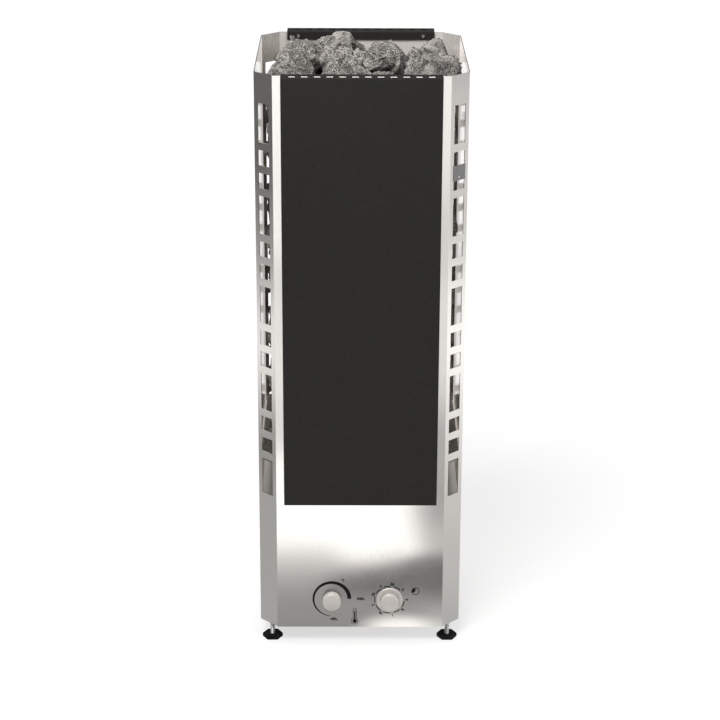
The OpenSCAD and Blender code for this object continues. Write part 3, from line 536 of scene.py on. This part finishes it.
# printed marks on the front panel, as a thin film of ink; places are (x, z)
inkLook = {"lift": 0.00003, "film": 0.00004, "weld": 0.000002, "stepAngle": 4.0, "leastSteps": 6}
thermostatPrint = {
    "centre": (-0.049, 0.0845), "radius": 0.0339, "start": 264.0, "end": 0.0,
    "thin": 0.0008, "thick": 0.0070, "taper": 0.75,
    "words": (("min.", (-0.0452, 0.0458)), ("max.", (0.0017, 0.0853))), "size": 0.0088, "bold": 0.0004, "narrow": 0.82,
    "unit": ("\u00b0C", (-0.0299, 0.1199)), "unitSize": 0.0056,
}
thermometerPrint = {
    "bulb": (-0.0089, 0.0412), "bulbRadius": 0.0038, "ring": 0.0064, "line": 0.0009, "stem": 0.0024, "top": 0.0614,
    "tube": 0.0034, "cap": 0.0627, "discAngles": (-250, 70), "discStep": 10, "capStep": 20,
}
timerPrint = {
    "centre": (0.0517, 0.083), "inner": 0.0250, "outer": 0.0267, "step": 40.0, "gap": 6.5, "labelRadius": 0.0300,
    "labels": ("0", "\u00bd", "1", "1\u00bd", "2", "2\u00bd", "3", "3\u00bd", "4"),
    "size": 0.0066, "bold": 0.0004, "narrow": 0.85,
}
clockPrint = {"centre": (0.0969, 0.0992), "radius": 0.0069, "line": 0.0011, "wedge": (90.0, 214.0), "steps": 12}


def panelPoint(x, z):
    return Vector((x, casingFront - inkLook["lift"], z))


def around(centre, radius, angle):
    turn = math.radians(angle)
    return centre[0] + radius * math.cos(turn), centre[1] + radius * math.sin(turn)


def inkBand(work, centre, inner, outer, start, end):
    steps = max(inkLook["leastSteps"], round(abs(end - start) / inkLook["stepAngle"]))
    rows = []
    for i in range(steps + 1):
        t = i / steps
        angle = start + (end - start) * t
        radii = (inner(t) if callable(inner) else inner, outer)
        rows.append([work.verts.new(panelPoint(*around(centre, r, angle))) for r in radii])
    for a, b in zip(rows, rows[1:]):
        work.faces.new((a[0], a[1], b[1], b[0]))


def inkShape(work, points):
    work.faces.new([work.verts.new(panelPoint(*p)) for p in points])


def inkWord(work, word, place, size, look, turn=0.0):
    curve = bpy.data.curves.new("word", "FONT")
    curve.body = word
    curve.size = size
    curve.offset = look["bold"]
    curve.align_x, curve.align_y = "CENTER", "CENTER"
    carrier = bpy.data.objects.new("word", curve)
    mesh = bpy.data.meshes.new_from_object(carrier)
    bpy.data.objects.remove(carrier)
    bpy.data.curves.remove(curve)
    c, s = math.cos(math.radians(turn)), math.sin(math.radians(turn))
    spots = []
    for v in mesh.vertices:
        across, up = v.co.x * look["narrow"], v.co.y
        spots.append(work.verts.new(panelPoint(place[0] + c * across - s * up, place[1] + s * across + c * up)))
    for polygon in mesh.polygons:
        work.faces.new([spots[i] for i in polygon.vertices])
    bpy.data.meshes.remove(mesh)


def finishInk(work, name):
    bmesh.ops.remove_doubles(work, verts=work.verts, dist=inkLook["weld"])
    grown = bmesh.ops.extrude_face_region(work, geom=list(work.faces), use_keep_orig=True)
    for item in grown["geom"]:
        if isinstance(item, bmesh.types.BMVert):
            item.co.y -= inkLook["film"]
    bmesh.ops.recalc_face_normals(work, faces=work.faces)
    addPiece(name, work, "black_plastic", "casing", "ink")


def printThermostat(look):
    work = bmesh.new()

    def inner(share):
        return look["radius"] - look["thin"] - (look["thick"] - look["thin"]) * share ** look["taper"]

    inkBand(work, look["centre"], inner, look["radius"], look["start"], look["end"])
    for word, place in look["words"]:
        inkWord(work, word, place, look["size"], look)
    inkWord(work, *look["unit"], look["unitSize"], look)
    finishInk(work, "thermostat_print")


def printThermometer(look):
    work = bmesh.new()
    bulb, half, line = look["bulb"], look["stem"] / 2, look["line"]
    first, last = look["discAngles"]
    disc = [around(bulb, look["bulbRadius"], a) for a in range(first, last + 1, look["discStep"])]
    cap = [around((bulb[0], look["top"] - half), half, a) for a in range(0, 181, look["capStep"])]
    inkShape(work, disc[::-1] + cap[::-1])
    lean = math.degrees(math.acos(look["tube"] / look["ring"]))
    inkBand(work, bulb, look["ring"] - line, look["ring"], 180 - lean, 360 + lean)
    inkBand(work, (bulb[0], look["cap"]), look["tube"] - line, look["tube"], 0.0, 180.0)
    for side in (-1, 1):
        outer, inner = bulb[0] + side * look["tube"], bulb[0] + side * (look["tube"] - line)
        low = bulb[1] + look["ring"] * math.sin(math.radians(lean))
        inkShape(work, [(outer, low), (inner, low), (inner, look["cap"]), (outer, look["cap"])])
    finishInk(work, "thermometer_print")


def printTimer(look):
    work = bmesh.new()
    for number, label in enumerate(look["labels"]):
        angle = -look["step"] * number
        inkWord(work, label, around(look["centre"], look["labelRadius"], angle), look["size"], look, angle - 90)
        if number < len(look["labels"]) - 1:
            start, end = angle - look["gap"], angle - look["step"] + look["gap"]
            inkBand(work, look["centre"], look["inner"], look["outer"], start, end)
    finishInk(work, "timer_print")


def printClock(look):
    work = bmesh.new()
    inkBand(work, look["centre"], look["radius"] - look["line"], look["radius"], 0.0, 360.0)
    start, end = look["wedge"]
    radius, steps = look["radius"] - look["line"] / 2, look["steps"]
    rim = [around(look["centre"], radius, start + (end - start) * i / steps) for i in range(steps + 1)]
    inkShape(work, [look["centre"]] + rim)
    finishInk(work, "clock_print")


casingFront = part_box("front_panel")[0].y
printThermostat(thermostatPrint)
printThermometer(thermometerPrint)
printTimer(timerPrint)
printClock(clockPrint)
print("stage: printed marks")

# floor, world and lamps
studio = {
    "floorSize": 80.0, "bounce": 0.8, "glow": 0.59, "catch": 0.48,
    "world": 0.62, "sun": 1.2, "sunSpread": 24.0, "sunAzimuth": 29.0, "sunHeight": 58.0,
    "mirrorSky": 0.95,
    "flags": (((-0.34, -0.94, 0.0), (0.86, 0.95)), ((-1.0, 0.1, 0.0), (0.80, 0.93)), ((0.0, 0.97, 0.22), (0.74, 0.92))),
    "flagTone": 0.05,
    "pile": {"place": (-1.25, -1.1, 2.5), "aim": (0.0, 0.03, 1.0), "power": 148.0,
             "spread": 12.0, "blend": 0.5, "size": 0.15},
    "vents": {"wide": 0.25, "tall": 0.008, "inset": 0.0024, "drop": 0.0068, "power": 0.0136},
}
# what polished sheet mirrors: cards and flags on the floor, as brightness by distance in metres from the casing
mirrorCards = {
    "frontLeft": ((0.0, 0.27), (0.15, 0.29), (0.22, 0.35), (0.28, 0.46), (0.35, 0.68), (0.43, 1.25), (0.80, 1.30),
                  (0.93, 0.68), (1.30, 0.88), (1.90, 0.86), (2.15, 0.60), (2.50, 1.15), (2.85, 1.15), (3.10, 0.92),
                  (4.0, 1.15)),
    "frontRight": ((0.0, 0.75), (0.12, 0.42), (0.20, 0.18), (0.27, 0.16), (0.38, 0.62), (0.60, 0.32), (0.95, 0.40),
                   (1.40, 0.84), (2.00, 0.84), (2.50, 0.48), (3.00, 0.80), (3.50, 0.98)),
    "left": ((0.0, 0.38), (0.60, 0.37), (0.85, 0.28), (1.00, 0.34), (1.24, 0.66), (1.50, 0.90), (1.75, 0.84),
             (2.02, 0.55), (2.26, 0.32), (2.80, 0.22), (3.20, 0.10)),
    "right": ((0.0, 0.44), (0.30, 0.53), (0.60, 0.60), (1.10, 0.85), (1.50, 1.15), (1.80, 1.10), (2.30, 0.76),
              (2.70, 0.60), (3.10, 0.64), (3.40, 0.72), (3.90, 0.64), (4.40, 0.60), (4.90, 0.48), (5.50, 0.42)),
    "rear": ((0.0, 0.55), (0.40, 0.90), (1.00, 1.20), (1.80, 1.00), (2.60, 1.30), (4.00, 1.20)),
    "reach": 8.0, "brightest": 1.3, "frontSplit": (0.08, 0.15), "cornerSplit": (0.45, 0.58),
    "middleSplit": (-0.1, 0.1),
}
# two small cards and a dark flag that the lower front mirrors
mirrorPatches = (
    {"place": (0.035, -0.568), "size": (0.078, 0.062), "turn": 0.0, "tone": 1.3, "soft": 0.45},
    {"place": (0.105, -0.460), "size": (0.17, 0.073), "turn": -0.37, "tone": 0.14, "soft": 0.38},
    {"place": (0.072, -0.242), "size": (0.058, 0.040), "turn": 0.0, "tone": 1.1, "soft": 0.65},
)


def cardRamp(tree, distance, card, reach, brightest):
    share = sums(tree, "DIVIDE", distance, reach)
    node = addNode(tree, "ShaderNodeValToRGB", {"Fac": share})
    node.color_ramp.interpolation = "EASE"
    stops = node.color_ramp.elements
    for index, (place, tone) in enumerate(card):
        stop = stops[index] if index < 2 else stops.new(place / reach)
        stop.position = place / reach
        stop.color = rgb([tone / brightest] * 3)
    return sums(tree, "MULTIPLY", node.outputs["Color"], brightest)


def mirroredFloor(tree, cards, patches):
    place = addNode(tree, "ShaderNodeNewGeometry").outputs["Position"]
    split = addNode(tree, "ShaderNodeSeparateXYZ", {0: place})
    x, y = split.outputs["X"], split.outputs["Y"]
    low, high = cadBox
    away = {"frontLeft": sums(tree, "SUBTRACT", casingFront, y), "rear": sums(tree, "ADD", casingFront, y),
            "left": sums(tree, "SUBTRACT", low.x, x), "right": sums(tree, "SUBTRACT", x, high.x)}
    away["frontRight"] = away["frontLeft"]
    tones = {side: cardRamp(tree, away[side], cards[side], cards["reach"], cards["brightest"]) for side in away}
    ahead = blendColour(tree, ramp(tree, x, *cards["frontSplit"]), tones["frontLeft"], tones["frontRight"])
    sides = blendColour(tree, ramp(tree, x, *cards["middleSplit"]), tones["left"], tones["right"])
    ends = blendColour(tree, ramp(tree, y, *cards["middleSplit"]), ahead, tones["rear"])
    wide, deep = sums(tree, "ABSOLUTE", x), sums(tree, "ABSOLUTE", y)
    lean = sums(tree, "DIVIDE", wide, sums(tree, "ADD", wide, deep))
    tone = blendColour(tree, ramp(tree, lean, *cards["cornerSplit"]), ends, sides)
    for patch in patches:
        mapping = addNode(tree, "ShaderNodeMapping", {
            "Vector": place, "Location": (*patch["place"], 0.0), "Rotation": (0, 0, patch["turn"]),
            "Scale": (*patch["size"], 1.0)}, vector_type="TEXTURE")
        radius = addNode(tree, "ShaderNodeVectorMath", {0: mapping.outputs[0]}, operation="LENGTH").outputs["Value"]
        inside = ramp(tree, radius, 1.0 + patch["soft"], 1.0 - patch["soft"])
        tone = blendColour(tree, inside, tone, [patch["tone"]] * 3)
    return tone


def makeFloor(look):
    mesh = bpy.data.meshes.new("floor")
    half = look["floorSize"] / 2
    mesh.from_pydata([(-half, -half, 0), (half, -half, 0), (half, half, 0), (-half, half, 0)], [], [(0, 1, 2, 3)])
    floor = bpy.data.objects.new("floor", mesh)
    bpy.context.scene.collection.objects.link(floor)
    material = bpy.data.materials.new("floor")
    material.use_nodes = True
    tree = material.node_tree
    tree.nodes.clear()
    rays = addNode(tree, "ShaderNodeLightPath")
    caught = addNode(tree, "ShaderNodeBsdfDiffuse", {"Color": rgb([look["catch"]] * 3)})
    glow = addNode(tree, "ShaderNodeEmission", {"Color": rgb([1.0] * 3), "Strength": look["glow"]})
    seen = addNode(tree, "ShaderNodeAddShader", {0: caught.outputs[0], 1: glow.outputs[0]})
    plain = addNode(tree, "ShaderNodeBsdfDiffuse", {"Color": rgb([look["bounce"]] * 3)})
    mirrored = addNode(tree, "ShaderNodeEmission", {"Color": mirroredFloor(tree, mirrorCards, mirrorPatches)})
    first = addNode(tree, "ShaderNodeMixShader", {
        0: rays.outputs["Is Camera Ray"], 1: plain.outputs[0], 2: seen.outputs[0]})
    both = addNode(tree, "ShaderNodeMixShader", {
        0: rays.outputs["Is Glossy Ray"], 1: first.outputs[0], 2: mirrored.outputs[0]})
    end = addNode(tree, "ShaderNodeOutputMaterial")
    tree.links.new(both.outputs[0], end.inputs["Surface"])
    mesh.materials.append(material)


def makeWorld(look):
    world = bpy.data.worlds.new("studio")
    bpy.context.scene.world = world
    world.use_nodes = True
    tree = world.node_tree
    background = tree.nodes["Background"]
    rays = addNode(tree, "ShaderNodeLightPath")
    lit = ramp(tree, rays.outputs["Is Glossy Ray"], 0.0, 1.0, look["world"], look["mirrorSky"])
    strength = addNode(tree, "ShaderNodeMath", {0: lit, 1: rays.outputs["Is Camera Ray"]}, operation="MAXIMUM")
    tree.links.new(strength.outputs[0], background.inputs["Strength"])
    place = addNode(tree, "ShaderNodeTexCoord").outputs["Generated"]
    colour = [1.0] * 3
    for direction, edge in look["flags"]:
        toward = addNode(tree, "ShaderNodeVectorMath", {0: place, 1: direction}, operation="DOT_PRODUCT")
        flag = sums(tree, "MULTIPLY", ramp(tree, toward.outputs["Value"], *edge), rays.outputs["Is Glossy Ray"])
        colour = blendColour(tree, flag, colour, [look["flagTone"]] * 3)
    tree.links.new(colour, background.inputs["Color"])


def addLamp(name, kind, energy, place=(0.0, 0.0, 0.0)):
    data = bpy.data.lights.new(name, kind)
    data.energy = energy
    lamp = bpy.data.objects.new(name, data)
    bpy.context.scene.collection.objects.link(lamp)
    lamp.location = place
    return data, lamp


def aimLamp(lamp, aim):
    lamp.rotation_mode = "QUATERNION"
    lamp.rotation_quaternion = aim.to_track_quat("-Z", "Y")


def makeSun(look):
    data, lamp = addLamp("key", "SUN", look["sun"])
    data.angle = math.radians(look["sunSpread"])
    turn, height = math.radians(look["sunAzimuth"]), math.radians(look["sunHeight"])
    aimLamp(lamp, Vector((math.sin(turn) * math.cos(height), math.cos(turn) * math.cos(height), -math.sin(height))))


# soft spot on the stones
def makePileLamp(look):
    data, lamp = addLamp("pile", "SPOT", look["power"], look["place"])
    data.spot_size = math.radians(look["spread"])
    data.spot_blend = look["blend"]
    data.shadow_soft_size = look["size"]
    aimLamp(lamp, Vector(look["aim"]) - Vector(look["place"]))


# small card behind the front cover's vents, which the panel there mirrors
def makeVentCard(look):
    low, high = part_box("front_cover")
    place = (0.0, low.y + look["inset"], high.z - look["drop"])
    data, lamp = addLamp("vent card", "AREA", look["power"], place)
    data.shape = "RECTANGLE"
    data.size, data.size_y = look["wide"], look["tall"]
    lamp.rotation_euler = (math.pi / 2, 0.0, 0.0)
    lamp.visible_camera = False


makeFloor(studio)
makeWorld(studio)
makeSun(studio)
makePileLamp(studio["pile"])
makeVentCard(studio["vents"])
print("stage: floor, world and lamps")
